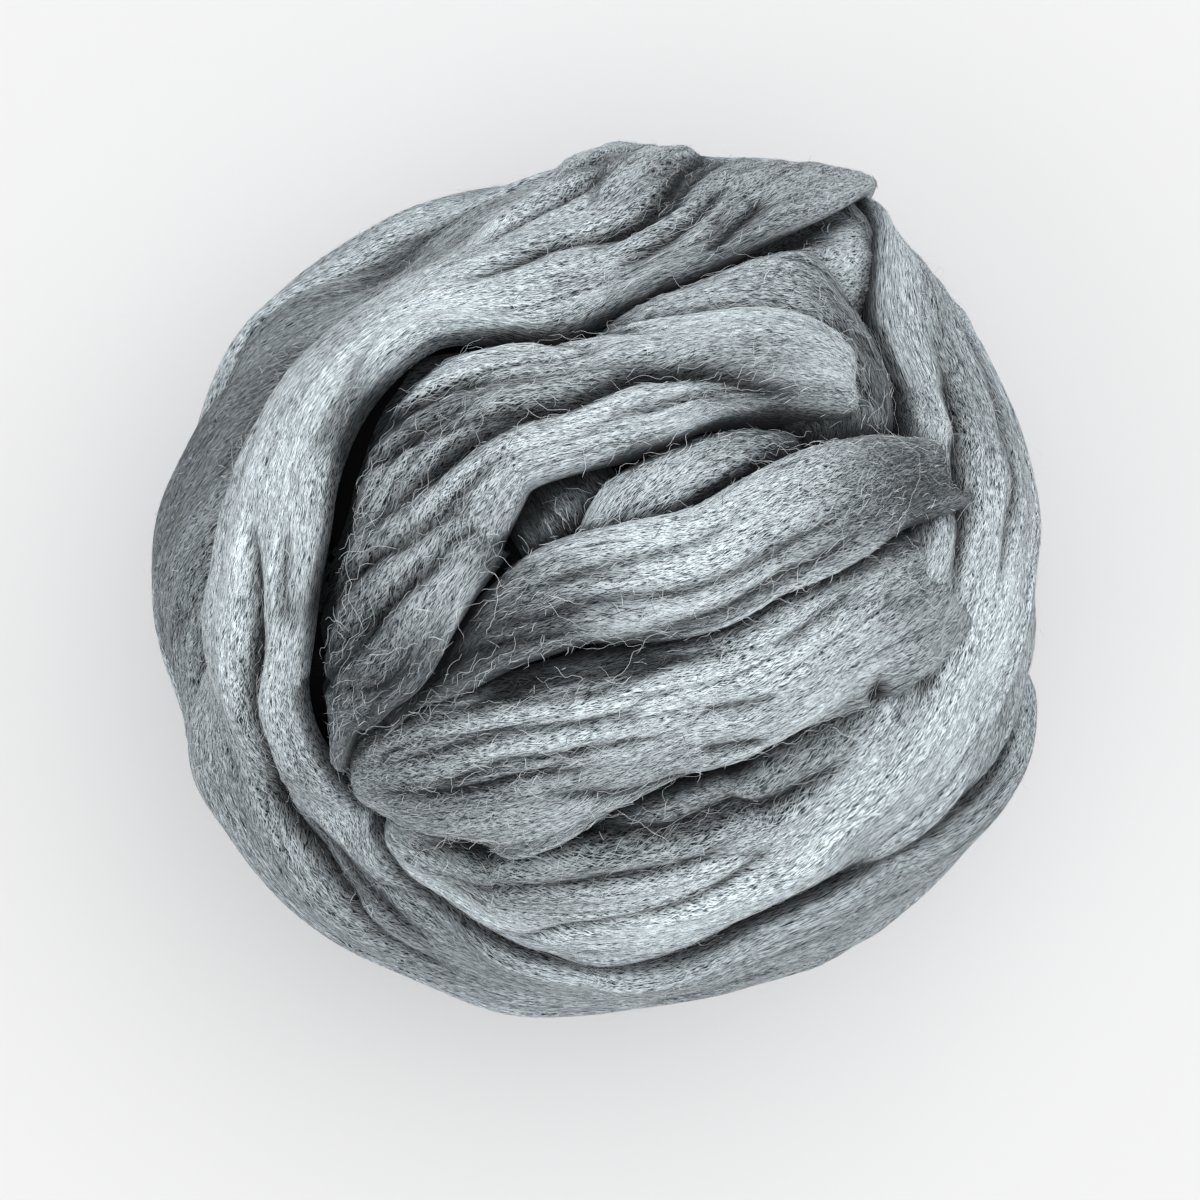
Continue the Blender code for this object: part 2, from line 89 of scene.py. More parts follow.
Section = namedtuple("Section", "azimuth_deg elevation_deg width_mm thick_mm lift_mm")
TURNS = [(name, press, [Section(*row) for row in rows]) for name, press, rows in (
    ("B2", 2, (
        (112, 40, 14, 9, 0), (128, 43, 22, 9, 0), (143, 38, 28, 9, 0), (156, 28, 32, 9, 0),
        (170, 17, 34, 9, 0), (184, 8, 32, 9, 0), (198, 0, 28, 9, 0), (212, -12, 24, 9, 0),
    )),
    ("M", 2, (
        (97, 50, 6, 6, 0), (87, 48, 8, 7, 0), (78, 45, 10, 8, 0), (69, 39, 16, 8.5, 1),
        (63, 29, 28, 9, 2), (57, 17, 32, 8.5, 0.5), (51, 4, 24, 8, 0), (46, -12, 20, 8, -1),
        (42, -28, 16, 7, -3),
    )),
    ("E", 2, (
        (119, 63, 22, 8.5, 0), (116, 75, 24, 9, 1.5), (109, 81, 25, 9, 1.5),
        (10, 88, 23, 9, 1.5), (-45, 80, 21, 8, -1),
    )),
    ("F", 4, (
        (-137, 87, 18, 8, 0), (28, 86, 21, 9, 0.5), (36, 80, 25, 10, 1),
        (36, 73, 28, 10.5, 1.5), (33, 66, 28, 10, 1), (29, 60, 24, 9, 0),
        (25, 54, 19, 8, -1.5), (22, 49, 14, 6, -4),
    )),
    ("L", 2.5, (
        (96, 52, 7, 6, 0), (81, 51, 10, 7, 0), (68, 46, 14, 8, 0), (57, 42, 22, 8.5, 0),
        (49, 38, 30, 9, 0), (42, 35.5, 37, 8.5, -0.5), (36, 36.5, 35, 8, -1),
        (29, 38.5, 30, 7, -2), (22, 40, 20, 6, -3),
    )),
    ("IJ", 3, (
        (-136, 24, 5, 8, 0), (-127, 26, 13, 9, 0), (-117, 29, 19, 9.5, 0),
        (-107, 30, 33, 10, 0), (-97, 34, 43, 10.5, 0), (-84, 37, 46, 11, 0),
        (-71, 38, 45, 11, 0), (-56, 38, 41, 11, 0.5), (-45, 39, 33, 11, 1),
        (-34, 38, 30, 11, 1.5), (-22, 37, 27, 11, 2.5), (-12, 36, 27, 11, 3),
        (-3, 32, 26, 11, 3), (6, 27, 25, 10.5, 3), (14, 21.5, 29, 10.5, 3),
        (21, 16.5, 30, 10, 2.5), (29, 13.5, 28, 10, 2), (35, 13, 25, 9.5, 2),
        (41, 9, 23, 9.5, 1.5), (46, -1, 24, 9, 0.5), (50, -14, 26, 9, 0.5),
        (54, -28, 26, 9, 0),
    )),
    ("H", 3.5, (
        (-142, 24, 8, 7, 0), (-141, 31, 17, 8, 0), (-138, 37, 27, 9, 0), (-134, 43, 33, 10, 0),
        (-126, 53, 35, 11, 0), (-111, 62, 32, 11, 0), (-90, 68, 29, 11, 0),
        (-61, 69, 27, 11, 0), (-40, 65, 28, 11, 0), (-24, 60, 28, 11, 0),
        (-13, 54, 27, 10.5, -1), (-5, 47, 24, 10, -2), (0, 40, 20, 9, -3), (5, 32, 17, 8, -4),
    )),
    ("G", 6, (
        (-145, 45, 4, 6, 0), (-149, 57, 6, 7.5, 0), (-150, 66, 11, 8.5, 0),
        (-155, 76, 17, 9.5, 0), (-148, 86, 19, 10.5, 0), (-10, 85, 20, 11, 0),
        (5, 76, 20, 11, 0), (14, 68, 20, 11, 0), (17, 59, 21, 11, 0), (19, 48, 20, 11, -0.5),
        (19, 41, 18, 10, -1), (18.5, 34.5, 16, 9, -1.5), (18, 28.5, 13, 8, -2.5),
        (17.5, 23, 8, 6, -5),
    )),
    ("D", 4.5, (
        (-143, 28, 9, 6, 0), (-151, 32, 20, 7.5, 0), (-161, 37.5, 34, 8.5, 0.5),
        (-170, 45, 43, 10, 1), (-179, 51, 49, 11, 1), (163, 57.5, 46, 12, 1),
        (148, 59, 45, 12, 1), (135, 61, 41, 12, 1), (119, 62.5, 35, 12, 1),
        (102, 64, 30, 12, 1), (87, 63, 26, 12, 1), (75, 61, 23, 12, 1), (65, 57, 20, 12, 1),
        (57, 53, 18, 11.5, 0.5), (49, 47.5, 16, 10.5, 0), (41, 41, 14, 9, -1.5),
        (35, 34.5, 10, 7, -4),
    )),
    ("S", 5.5, (
        (-10, -12, 14, 7, -4), (-24, -1, 24, 9, 0), (-37, 9, 30, 9.5, 0.5),
        (-47, 13, 31, 10, 0), (-60, 17, 30, 10, 0), (-76, 13, 26, 10, 0), (-88, 9, 26, 10, 0),
        (-98, 9.5, 26, 10, 0), (-108, 10, 26, 10.5, 0), (-118, 11, 27, 11.5, 0.5),
        (-129, 12, 28, 12, 1), (-139, 14.5, 28, 12, 1), (-149, 20, 27, 12, 1),
        (-158, 27.5, 26, 12, 1.5), (-168, 35, 25, 12.5, 2), (-178, 41, 25, 12.5, 2),
        (172, 43.2, 25, 13, 2.5), (163, 43.6, 23, 13, 3), (154, 44, 20, 13, 3),
        (145, 44.3, 17.5, 13, 3), (134, 44, 16, 12.5, 2.5), (124, 42.5, 18, 12, 2),
        (114, 41.5, 23, 12, 2), (105, 39.5, 29, 11.5, 1.5), (96, 36, 34, 11, 1),
        (88, 31.5, 38, 10, 1), (82, 26, 42, 9.5, 1.2), (77, 18, 44, 9, 1.5),
        (73, 8, 43, 8.5, 1.5), (70.5, -4, 40, 8.5, 1), (68, -22, 34, 8.5, 0),
    )),
)]


# ---- geometry of a turn, the same rules as the solid's ------------------------------
def unit(a):
    return a / np.maximum(np.linalg.norm(a, axis=-1, keepdims=True), 1e-12)


def direction(azimuth, elevation):
    a, e = np.radians(azimuth), np.radians(elevation)
    return np.stack([np.cos(e) * np.cos(a), np.cos(e) * np.sin(a), np.sin(e)], -1)


def loop_sections(loop, count=12):
    tip, high, low = (math.radians(v) for v in (loop.tilt_deg, loop.high_azimuth_deg, loop.low_deg))
    out = []
    for i in range(count):
        a = 2 * math.pi * (i / count + 0.5)
        x, y, z = math.cos(a) * math.cos(low), math.sin(a) * math.cos(low), math.sin(low)
        x, z = x * math.cos(tip) - z * math.sin(tip), x * math.sin(tip) + z * math.cos(tip)
        x, y = x * math.cos(high) - y * math.sin(high), x * math.sin(high) + y * math.cos(high)
        out.append(Section(
            math.degrees(math.atan2(y, x)),
            math.degrees(math.asin(max(-1.0, min(1.0, z)))) + loop.sway_deg * math.sin(3 * a + high),
            loop.width_mm * (1 + 0.12 * math.sin(2 * a + tip)),
            loop.thick_mm * (1 + 0.15 * math.cos(3 * a + tip + high)),
            loop.lift_mm))
    return out


def spline(points, count, closed):
    total = len(points)
    out = []
    for i in range(total if closed else total - 1):
        p1, p2 = points[i], points[(i + 1) % total]
        p0 = points[i - 1] if closed or i else 2 * p1 - p2
        p3 = points[(i + 2) % total] if closed or i + 2 < total else 2 * p2 - p1
        t = np.linspace(0, 1, count, endpoint=False)[:, None]
        out.append(0.5 * (2 * p1 + (p2 - p0) * t + (2 * p0 - 5 * p1 + 4 * p2 - p3) * t * t
                          + (3 * p1 - p0 - 3 * p2 + p3) * t ** 3))
    if not closed:
        out.append(points[-1:])
    return np.concatenate(out)


def course(sections, closed):
    rows = np.array([tuple(s) for s in sections], float)
    curve = spline(np.concatenate([direction(rows[:, 0], rows[:, 1]), rows[:, 2:]], 1), 16, closed)
    if closed:
        curve = np.concatenate([curve, curve[:1]])
    mid = unit(curve[:, :3])
    along = np.r_[0, np.cumsum(np.linalg.norm(np.diff(mid, axis=0), axis=1))] * TURN_RADIUS
    at = np.linspace(0, along[-1], max(8, int(along[-1] / STEP)))
    mid = unit(np.stack([np.interp(at, along, mid[:, k]) for k in range(3)], -1))
    width, thick, lift = (np.interp(at, along, curve[:, k]) for k in (3, 4, 5))
    bell = np.hanning(9) / np.hanning(9).sum()
    ends = ((lambda a: np.concatenate([a[-9:-1], a, a[1:9]])) if closed else
            (lambda a: np.concatenate([np.repeat(a[:1], 8), a, np.repeat(a[-1:], 8)])))
    mid = unit(np.stack([np.convolve(ends(mid[:, k]), bell, "same")[8:-8] for k in range(3)], -1))
    tangent = np.gradient(mid, axis=0)
    if closed:
        tangent[0] = tangent[-1] = mid[1] - mid[-2]
    tangent = unit(tangent - (tangent * mid).sum(1)[:, None] * mid)
    tip = np.ones(len(at))
    if not closed:
        tip = np.sqrt(np.clip(1 - (1 - np.clip(np.minimum(at, along[-1] - at) / 10, 0, 1)) ** 2, 0, 1))
    return {"mid": mid, "tangent": tangent, "side": np.cross(mid, tangent), "closed": closed,
            "half": width / 2 / TURN_RADIUS * (0.35 + 0.65 * tip), "thick": thick * tip,
            "lift": lift - 3 * (1 - tip), "at": at, "length": along[-1], "width": width.mean()}


def crown(v):
    return OVERHANG + (1 - OVERHANG) * np.sqrt(np.clip(1 - np.abs(v) ** FULLNESS, 0, 1))


def field_directions(cells):
    g = np.tan((np.arange(cells) + 0.5) / cells * math.pi / 2 - math.pi / 4)
    a, b = np.meshgrid(g, g, indexing="ij")
    one = np.ones_like(a)
    faces = [(one, a, b), (-one, a, b), (a, one, b), (a, -one, b), (a, b, one), (a, b, -one)]
    return np.concatenate([unit(np.stack(f, -1)).reshape(-1, 3) for f in faces])


def field_cell(n, cells=FIELD_CELLS):
    axis = np.argmax(np.abs(n), -1)
    main = np.take_along_axis(n, axis[..., None], -1)[..., 0]
    other = np.array([[1, 2], [0, 2], [0, 1]])[axis]
    cell = [np.clip(((np.arctan(np.take_along_axis(n, other[..., k:k + 1], -1)[..., 0] / np.abs(main))
                      + math.pi / 4) / (math.pi / 2) * cells).astype(int), 0, cells - 1)
            for k in (0, 1)]
    return (axis * 2 + (main < 0)) * cells ** 2 + cell[0] * cells + cell[1]


def blur(a, sigma, axis, wrap=False):
    reach = max(1, int(3 * sigma))
    kernel = np.exp(-0.5 * (np.arange(-reach, reach + 1) / sigma) ** 2)
    pad = [(0, 0)] * a.ndim
    pad[axis] = (reach, reach)
    padded = np.pad(a, pad, mode="wrap" if wrap else "edge")
    out = 0
    for q, weight in enumerate(kernel / kernel.sum()):
        cut = [slice(None)] * a.ndim
        cut[axis] = slice(q, q + a.shape[axis])
        out = out + weight * padded[tuple(cut)]
    return out


ACROSS = np.linspace(-1.3, 1.3, 33)


def bed(turn, field, level, softness):
    angle = ACROSS[None] * turn["half"][:, None]
    n = turn["mid"][:, None] * np.cos(angle)[..., None] + turn["side"][:, None] * np.sin(angle)[..., None]
    under = field[field_cell(n)]
    near = blur(blur(under, 4.0 / STEP, 0, turn["closed"]), 1.2, 1)
    wide = blur(blur(under, 9.0 / STEP, 0, turn["closed"]), 4.5, 1)
    edge = np.clip(np.abs(ACROSS), 0, 1) ** 3
    middle = level + softness * (wide - level)
    return (1 - edge) * middle + edge * (0.85 * near + 0.15 * wide) + turn["lift"][:, None]


def locate(turn, n):
    """For each direction: nearest place along a turn, place across it, and whether it is beside it."""
    near = n @ turn["mid"].T
    k = near.argmax(1)
    v = np.arcsin(np.clip((n * turn["side"][k]).sum(1), -1, 1)) / turn["half"][k]
    return k, v, (near[np.arange(len(n)), k] > 0.5) & (np.abs((n * turn["tangent"][k]).sum(1)) < 0.03)


def pressed(turn, n):
    """How far a turn presses down the wool under it and just beside it, mm."""
    out = np.zeros(len(n))
    share = np.clip((turn["thick"] - 7) / 6, 0, 1).astype(np.float32)
    reach = PRESS_REACH / TURN_RADIUS
    gap = np.sqrt(np.clip(2 - 2 * (n.astype(np.float32) @ turn["mid"].T.astype(np.float32)), 0, None))
    gap -= turn["half"].astype(np.float32)
    close = np.flatnonzero(gap.min(1) < reach)
    out[close] = ((1 - np.clip(gap[close] / reach, 0, 1)) ** 2 * share).max(1) * turn["press"]
    return out


def wind():
    n = field_directions(FIELD_CELLS)
    field = np.zeros(len(n))
    order = [(loop.name, loop_sections(loop), True, loop.level_mm, 0) for loop in LOOPS]
    order += [(name, rows, False, INNER_LEVEL, press) for name, press, rows in TURNS]
    laid = []
    for name, sections, closed, level, press in order:
        turn = course(sections, closed)
        turn["press"] = press
        base = bed(turn, field, level, SOFTNESS)
        k, v, beside = locate(turn, n)
        if press:
            field -= pressed(turn, n)
        on = (np.abs(v) < 1) & beside
        place = (np.clip(v[on], -1.3, 1.3) + 1.3) / 2.6 * (len(ACROSS) - 1)
        i = np.clip(place.astype(int), 0, len(ACROSS) - 2)
        low = base[k[on], i] * (1 - place + i) + base[k[on], i + 1] * (place - i)
        field[on] = np.maximum(field[on], low + turn["thick"][k[on]] * crown(v[on]))
        turn.update(name=name, base=base)
        laid.append(turn)
    return field, laid


def core_radius(n):
    at = np.degrees(np.arctan2(n[..., 1], n[..., 0])) % 360
    x = np.array([FORM[-1].azimuth_deg - 360] + [f.azimuth_deg for f in FORM] + [FORM[0].azimuth_deg + 360], float)
    r = np.array([FORM[-1].radius_mm] + [f.radius_mm for f in FORM] + [FORM[0].radius_mm])
    k = np.clip(np.searchsorted(x, at, side="right") - 1, 0, len(x) - 2)
    t = (at - x[k]) / (x[k + 1] - x[k])
    t = t * t * (3 - 2 * t)
    half = r[k] * (1 - t) + r[k + 1] * t
    height = np.where(n[..., 2] > 0, CORE_TOP, CORE_UNDER)
    return 1 / np.sqrt((np.hypot(n[..., 0], n[..., 1]) / half) ** 2 + (n[..., 2] / height) ** 2)


def smooth_cells(field, sigma):
    faces = field.reshape(6, FIELD_CELLS, FIELD_CELLS)
    return blur(blur(faces, sigma, 1), sigma, 2).reshape(-1)


def body_shift(field):
    """Where the solid's own net puts the middle of its box, so both share one origin."""
    g = np.tan((np.linspace(-1, 1, FACE_CELLS + 1)) * math.pi / 4)
    a, b = np.meshgrid(g, g, indexing="ij")
    one = np.ones_like(a)
    n = np.concatenate([unit(np.stack(f, -1)).reshape(-1, 3) for f in
                        [(one, a, b), (-one, a, b), (a, one, b), (a, -one, b), (a, b, one), (a, b, -one)]])
    p = n * (core_radius(n) + smooth_cells(field, 3.2)[field_cell(n)])[:, None]
    p = p[p[:, 2] > -CENTRE_HEIGHT]
    return (p[:, 0].min() + p[:, 0].max()) / 2, (p[:, 1].min() + p[:, 1].max()) / 2


# ---- combed streaks and folds in a strand's own surface ----------------------------
def lattice(seed, rows, cols):
    return np.random.default_rng(seed).uniform(-1, 1, (rows, cols))


def streaks(s, u, length, seed, span, pitch, closed):
    """Smooth noise in a strand's own coordinates: features span long and pitch wide."""
    rows = max(3, int(round(length / span)))
    table = lattice(seed, rows, 64)
    x = s / length * rows
    y = u / pitch + 17.3
    i, j = np.floor(x).astype(int), np.floor(y).astype(int)
    fx, fy = x - i, y - j
    fx, fy = fx * fx * (3 - 2 * fx), fy * fy * (3 - 2 * fy)
    w = lambda p, q: table[p % rows, q % 64]
    return ((w(i, j) * (1 - fx) + w(i + 1, j) * fx) * (1 - fy)
            + (w(i, j + 1) * (1 - fx) + w(i + 1, j + 1) * fx) * fy)


# Folds combed into a turn: where each one runs, as distance along the turn in mm and
# place across it from -1 to 1, how deep it is and how wide.
Groove = namedtuple("Groove", "turn depth_mm width_mm run")
GROOVES = [Groove(*row) for row in (
    ("S", 4.5, 2.2, ((134, 0.07), (146, -0.15), (159, -0.4), (171, -0.38), (184, -0.25), (204, -0.62), (222, -0.62), (233, -0.38), (244, -0.12))),
    ("S", 3.5, 2, ((285, -0.38), (295, -0.2), (305, -0.12), (314, -0.15), (322, -0.15), (368, 0.35))),
    ("S", 3, 2.2, ((322, -0.9), (328, -0.8), (337, -0.72))),
    ("S", 2.2, 1.8, ((294, 0.47), (305, 0.52), (319, 0.6), (338, 0.57))),
    ("S", 2, 1.6, ((304, -0.4), (316, -0.32), (367, 0.18), (385, 0.72))),
    ("S", 2, 1.6, ((312, -0.65), (324, -0.5), (340, -0.32))),
    ("S", 1.6, 1.6, ((249, -0.9), (256, -0.95), (263, -0.95), (272, -0.8))),
    ("S", 1.6, 1.6, ((226, -0.97), (232, -0.88), (240, -0.88))),
    ("S", 2.2, 1.8, ((141, -0.52), (155, -0.7), (170, -0.62), (184, -0.55))),
    ("D", 2.6, 1.6, ((71, 0.35), (77, 0.3), (84, 0.27), (91, 0.18))),
    ("D", 5, 2.2, ((57, -0.05), (66, -0.2), (79, -0.3), (89, -0.38), (100, -0.28), (113, -0.07), (122, -0.28), (132, -0.5), (141, -0.82))),
    ("D", 1.8, 1.4, ((63, 0.3), (71, 0.12), (79, 0.05), (87, -0.1))),
    ("D", 1.6, 1.4, ((46, -0.18), (58, -0.32), (66, -0.47), (82, -0.62), (95, -0.72))),
    ("D", 1.6, 1.4, ((41, -0.47), (55, -0.6), (63, -0.67), (78, -0.8))),
    ("D", 1.8, 1.6, ((79, 0.75), (86, 0.77), (94, 0.88), (109, 0.92), (122, 0.62))),
    ("D", 1.8, 1.2, ((66, 0.27), (75, 0), (88, -0.25), (102, -0.32))),
    ("D", 1.6, 1.2, ((43, -0.12), (55, -0.28), (65, -0.52), (80, -0.7))),
    ("D", 1.6, 1.2, ((36, -0.25), (47, -0.45), (59, -0.67), (64, -0.75))),
    ("H", 1.8, 1.3, ((38, 0.72), (55, 0.75), (71, 0.65), (84, 0.65), (100, 0.57))),
    ("H", 1.8, 1.3, ((33, 0.02), (52, 0.15), (69, 0.05), (83, -0.18))),
    ("D", 1.8, 1.6, ((24, -0.38), (41, -0.45), (52, -0.55))),
    ("D", 1.6, 1.6, ((4, 0.95), (36, -0.75), (51, -0.82))),
    ("D", 1.4, 1.4, ((99, -0.7), (108, -0.57), (119, -0.6), (129, -0.8))),
    ("G", 1.8, 1.8, ((33, 0.18), (47, -0.18), (60, -0.15), (72, -0.15), (86, -0.25), (104, -0.07))),
    ("G", 1.5, 1.6, ((45, 0.27), (57, 0.35), (70, 0.5), (85, 0.52))),
    ("G", 1.5, 1.6, ((62, -0.67), (74, -0.65), (90, -0.7), (108, -0.52))),
    ("G", 1.8, 1.6, ((20, 0.22), (33, -0.15), (45, -0.52), (56, -0.65))),
    ("H", 3, 1.8, ((49, 0.77), (63, 0.85), (76, 0.77), (86, 0.68))),
    ("H", 2, 1.8, ((56, -0.32), (65, -0.55), (72, -0.72), (84, -0.9))),
    ("H", 2, 1.8, ((84, 0), (91, 0), (99, -0.1))),
    ("H", 2, 1.8, ((84, -0.52), (90, -0.57), (96, -0.67))),
    ("H", 1.8, 1.6, ((32, 0.38), (50, 0.45), (64, 0.4), (77, 0.25))),
    ("H", 2.2, 1.6, ((22, 0), (39, -0.05), (56, -0.07), (69, -0.2))),
    ("H", 1.6, 1.6, ((99, 0.5), (111, 0.43), (122, 0.38))),
    ("H", 3, 2.6, ((115, -0.97), (117, -0.97), (119, -0.75))),
    ("IJ", 2, 1.8, ((17, 0.1), (38, 0.57), (53, 0.52), (66, 0.55), (81, 0.52))),
    ("IJ", 2, 1.8, ((30, -0.47), (45, -0.07), (60, 0.05), (74, 0.15), (88, 0.25))),
    ("IJ", 1.6, 1.6, ((68, 0.77), (83, 0.72), (99, 0.6), (108, 0.5))),
    ("IJ", 2.4, 2, ((12, 0.4), (24, 0.8), (47, 0.85), (65, 0.85), (85, 0.8), (104, 0.55))),
    ("IJ", 3.5, 2.4, ((126, 0.47), (132, 0.38), (138, 0.4))),
    ("IJ", 2, 1.8, ((135, 0.35), (150, 0.47), (164, 0.6), (185, 0.43), (195, 0.43))),
    ("IJ", 2, 1.8, ((144, -0.22), (158, -0.12), (174, -0.15), (186, -0.45), (200, -0.4))),
    ("F", 1.6, 1.6, ((11, -0.05), (22, 0.02), (34, 0.12), (44, 0.43))),
    ("L", 1.8, 1.5, ((33, 0.15), (45, 0.1), (54, 0.35), (58, 0.7))),
    ("L", 1.5, 1.5, ((29, -0.45), (41, -0.42), (59, -0.25))),
    ("M", 1.6, 1.8, ((39, -0.05), (54, 0.02), (68, 0.2))),
    ("M", 1.6, 1.6, ((31, 0.2), (44, -0.05), (60, -0.12))),
)]

# Paler and darker places, partly the wool's own tone and partly painted light and shade: middle along and across a
# turn, reach both ways, amount.
Patch = namedtuple("Patch", "turn at_mm across reach_mm reach_across amount")
PATCHES = [Patch(*row) for row in (
    ("S", 231, -0.35, 34, 0.7, 0.45), ("S", 264, -0.85, 24, 0.8, 0.3),
    ("S", 186, -0.12, 22, 1, -0.25), ("S", 143, -0.45, 24, 1, -0.5),
    ("S", 284, -0.28, 14, 0.8, 0.35), ("S", 311, 0.25, 18, 0.5, 0.3),
    ("S", 324, -1.15, 18, 0.35, -0.55), ("S", 359, -0.45, 24, 1.2, -0.35),
    ("S", 331, 0.22, 14, 0.5, -0.2), ("S", 63, -1, 40, 1.2, -0.3), ("D", 81, 0.77, 22, 0.5, 0.4),
    ("D", 122, 0.57, 22, 0.5, 0.35), ("D", 97, -0.57, 22, 0.35, 0.35),
    ("D", 38, -0.45, 20, 1.4, -0.7), ("D", 51, -0.4, 30, 1.4, -0.4),
    ("D", 13, -0.65, 14, 1.3, -0.5), ("D", 135, -0.8, 12, 1.2, -0.5),
    ("D", 57, -0.8, 9, 0.35, 0.35), ("D", 70, -0.07, 16, 0.6, 0.15),
    ("G", 66, 0.43, 26, 0.7, 0.4), ("G", 77, -0.62, 20, 0.5, 0.3), ("G", 23, 0.3, 18, 1.4, -1.3),
    ("G", 38, 0.12, 20, 1, -0.75), ("G", 124, -0.35, 22, 1.3, -1.2),
    ("G", 45, -0.52, 16, 0.5, -0.3), ("H", 90, 0.25, 24, 0.6, 0.35),
    ("H", 30, 0.45, 18, 1.3, -0.6), ("H", 57, -0.28, 26, 0.35, -0.35),
    ("H", 103, -0.57, 18, 0.6, 0.3), ("H", 117, -0.97, 6, 0.3, -0.8),
    ("H", 70, 0.55, 14, 0.4, 0.2), ("H", 133, -0.18, 14, 1.2, -0.5),
    ("IJ", 58, -0.15, 46, 0.35, 0.4), ("IJ", 91, 0.07, 24, 0.4, 0.35),
    ("IJ", 52, 0.85, 34, 0.3, -0.6), ("IJ", 135, -0.38, 26, 0.5, 0.4),
    ("IJ", 183, -0.02, 22, 1.2, -0.2), ("IJ", 238, -0.92, 16, 1.2, -0.45),
    ("IJ", 132, 0.43, 6, 0.3, -0.7), ("IJ", 29, 0.55, 16, 0.4, -0.1),
    ("IJ", 99, 0.75, 18, 0.35, -0.3), ("L", 60, 0.35, 18, 1.3, -1.1),
    ("L", 41, -0.15, 14, 0.6, 0.1), ("M", 64, 0.25, 18, 0.6, 0.3),
    ("M", 30, -0.18, 14, 0.4, -0.5), ("F", 24, 0.05, 14, 0.6, 0.2),
    ("F", 48, 0.82, 14, 1.4, -1.1), ("F", 3, 0.18, 10, 1.2, -0.3),
    ("E", 23, -0.2, 40, 1.4, -0.45), ("B2", 55, -0.4, 60, 1.5, -0.8),
    ("waist_back", 255, -0.35, 60, 1.5, -0.5), ("waist_back", 297, 0.07, 30, 1.5, -0.4),
    ("waist_front", 248, 0.85, 40, 1, -0.1),
)]


def folds_of(turn, s, v, u):
    """The combed-in folds at (s, v): the even ones everywhere, then the named ones, in mm, and the painted shade along
    the middles of the named ones.
    """
    name, length, closed = turn["name"], turn["length"], turn["closed"]
    seed = sum(ord(c) * (i + 3) for i, c in enumerate(name))
    sway = 2.5 * streaks(s, u * 0, length, seed + 9, 40, 10, closed) * (1 - np.abs(v))
    fine = streaks(s, u + sway, length, seed + 2, 46, 3.0, closed)
    here = streaks(s, u, length, seed + 5, 30, 6, closed)
    even = np.clip(1 - np.abs(fine) * 6, 0, 1) ** 1.4 * np.clip(here + 0.30, 0, 1)
    thin = streaks(s, u + sway, length, seed + 12, 38, 1.7, closed)
    there = streaks(s, u, length, seed + 15, 24, 5, closed)
    slight = np.clip(1 - np.abs(thin) * 7, 0, 1) ** 1.4 * np.clip(there + 0.1, 0, 1)
    named = np.zeros(np.broadcast(s, v).shape)
    lips = np.zeros(np.broadcast(s, v).shape)
    painted_groove_shade = np.zeros(np.broadcast(s, v).shape)
    for g in GROOVES:
        if g.turn != name:
            continue
        knots = np.array(g.run, float)
        first, last = knots[0, 0], knots[-1, 0]
        line = np.interp(s, knots[:, 0], knots[:, 1])
        fade = np.clip(np.minimum(s - first, last - s) / (0.22 * (last - first)), 0, 1)
        d = (v - line + 0.03 * np.sin(s / 5.0)) * np.interp(s, turn["at"], turn["half"]) * TURN_RADIUS / g.width_mm
        cut = np.where(np.abs(d) < 4, np.exp(-np.abs(d) ** 1.3 * 1.6), 0)
        named += g.depth_mm * fade * cut
        painted_groove_shade += g.depth_mm * fade * np.where(np.abs(d) < 2, np.exp(-(np.abs(d) * 2.0) ** 1.5), 0)
        lips += g.depth_mm * fade * 0.28 * np.exp(-((np.abs(d) - 1.9) / 1.0) ** 2)
    return even, slight, named, lips, painted_groove_shade


def tone_of(turn, s, v, u):
    even, slight, named, _, painted_groove_shade = folds_of(turn, s, v, u)
    # painted shade: the colour darkens in the folds and along the middles of the named folds, as shade falls in creases
    out = -0.85 * even - 0.6 * slight - 0.45 * np.clip(named / 2.6, 0, 1) - 1.15 * np.clip(painted_groove_shade / 2.2, 0, 1)
    # patches: partly the wool's own tone, partly painted light on lit crests and painted shade in shaded places
    for p in PATCHES:
        if p.turn == turn["name"]:
            d = s - p.at_mm
            if turn["closed"]:
                d = (d + turn["length"] / 2) % turn["length"] - turn["length"] / 2
            out += p.amount * np.exp(-(d / p.reach_mm) ** 2 - ((v - p.across) / p.reach_across) ** 2)
    seed = sum(ord(c) * (i + 3) for i, c in enumerate(turn["name"]))
    out += 0.14 * streaks(s, u, turn["length"], seed + 21, 38, 6, turn["closed"])
    out += 0.10 * streaks(s, u, turn["length"], seed + 22, 22, 2.2, turn["closed"])
    return out


def relief(turn, s, v, u):
    """Height in mm added to a strand's smooth form at (s, v), u being mm across its outline."""
    name, length, closed = turn["name"], turn["length"], turn["closed"]
    seed = sum(ord(c) * (i + 3) for i, c in enumerate(name))
    sway = 2.5 * streaks(s, u * 0, length, seed + 9, 40, 10, closed) * (1 - np.abs(v))
    even, slight, named, lips, _ = folds_of(turn, s, v, u)
    out = 0.9 * streaks(s, u, length, seed, 55, 11, closed)
    out += 0.55 * streaks(s, u + sway, length, seed + 1, 45, 4.5, closed)
    out -= 1.2 * even + 0.5 * slight
    out += 0.24 * streaks(s, u + sway, length, seed + 3, 18, 1.1, closed)
    out *= np.clip(1.15 - np.abs(v) ** 4, 0.25, 1)
    return out - 0.7 * named + 0.7 * lips


